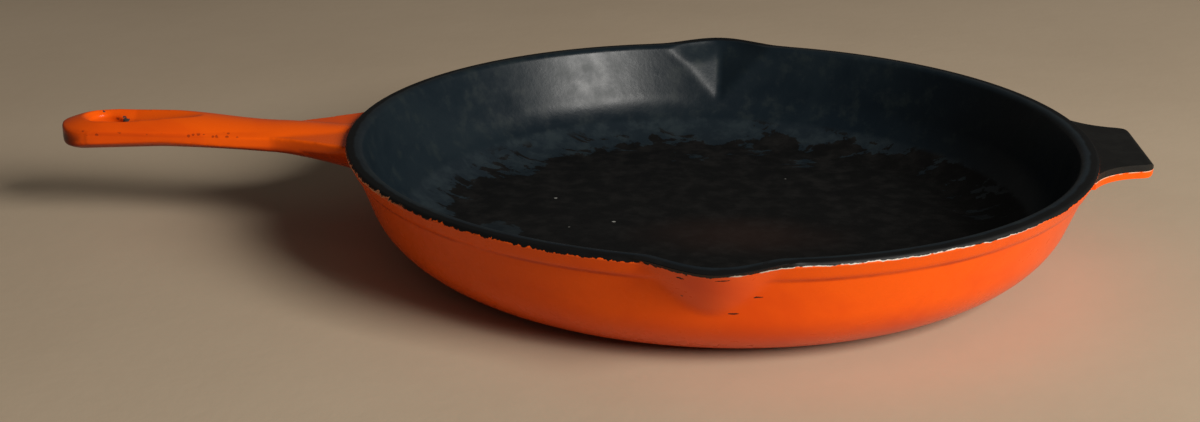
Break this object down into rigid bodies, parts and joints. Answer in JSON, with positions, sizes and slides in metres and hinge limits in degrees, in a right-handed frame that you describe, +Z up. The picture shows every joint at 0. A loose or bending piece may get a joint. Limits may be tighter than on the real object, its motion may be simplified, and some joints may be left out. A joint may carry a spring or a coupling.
{
  "type": "enamelled cast iron skillet",
  "caption": "Round enamelled cast-iron skillet with a long handle with a hanging hole, a flat helper handle and a pouring spout on each side.",
  "frame": {"origin": "centre of the flat base, on the worktop", "axes": "+Z up, -X along the long handle, +X along the helper handle, +Y and -Y through the two spouts"},
  "size_m": [0.4425, 0.321, 0.0473],
  "materials": {
    "iron": "bare casting under the enamel",
    "black_enamel": "matte black enamel",
    "orange_enamel": "gloss orange enamel"
  },
  "bodies": {
    "root": {"pan_casting": "iron", "long_handle": "iron", "helper_handle": "iron", "inner_enamel": "black_enamel", "helper_top_enamel": "black_enamel", "outer_enamel": "orange_enamel", "base_enamel": "orange_enamel", "helper_under_enamel": "orange_enamel", "handle_enamel": "orange_enamel"}
  },
  "joints": []
}
